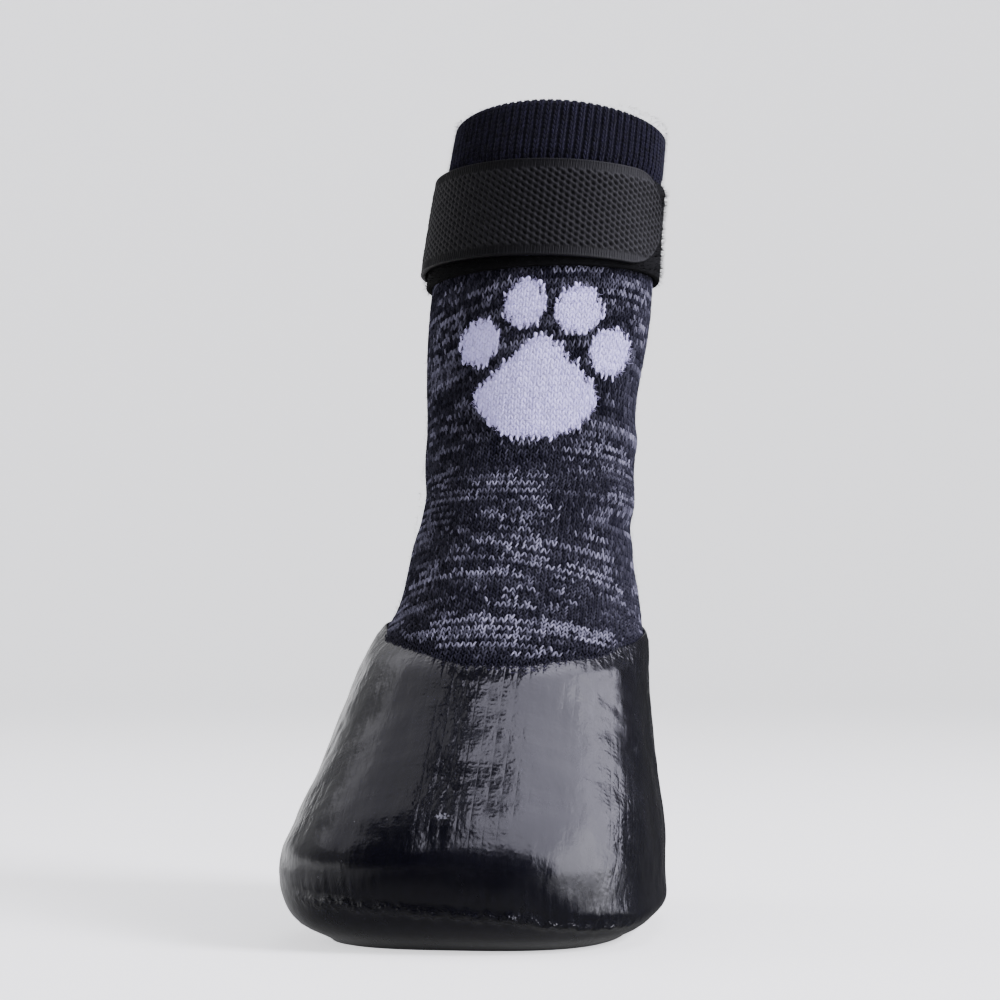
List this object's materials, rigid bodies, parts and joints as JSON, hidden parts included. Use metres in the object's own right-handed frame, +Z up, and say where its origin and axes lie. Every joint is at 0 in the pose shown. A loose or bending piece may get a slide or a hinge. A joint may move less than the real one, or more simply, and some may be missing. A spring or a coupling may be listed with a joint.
{
  "type": "dog sock",
  "caption": "Knitted dog sock with a ribbed cuff, a dipped rubber foot and a hook-and-loop strap round the leg.",
  "frame": {"origin": "on the sole's flat face, under the leg", "axes": "+Z up along the leg, the toe points along -Y, +X is the right-hand side seen from the front"},
  "size_m": [0.0702, 0.13, 0.1685],
  "materials": {
    "marled_yarn": "space-dyed knit, navy and light grey, with a plain white paw",
    "navy_yarn": "ribbed knit",
    "dipped_rubber": "glossy dipped latex",
    "loop_pile": "fuzzy loop tape",
    "woven_tape": "woven back of hook tape"
  },
  "bodies": {
    "root": {"knit_upper": "marled_yarn", "rib_cuff": "navy_yarn", "rubber_foot": "dipped_rubber", "loop_strap": "loop_pile", "hook_strap": "woven_tape"}
  },
  "joints": []
}
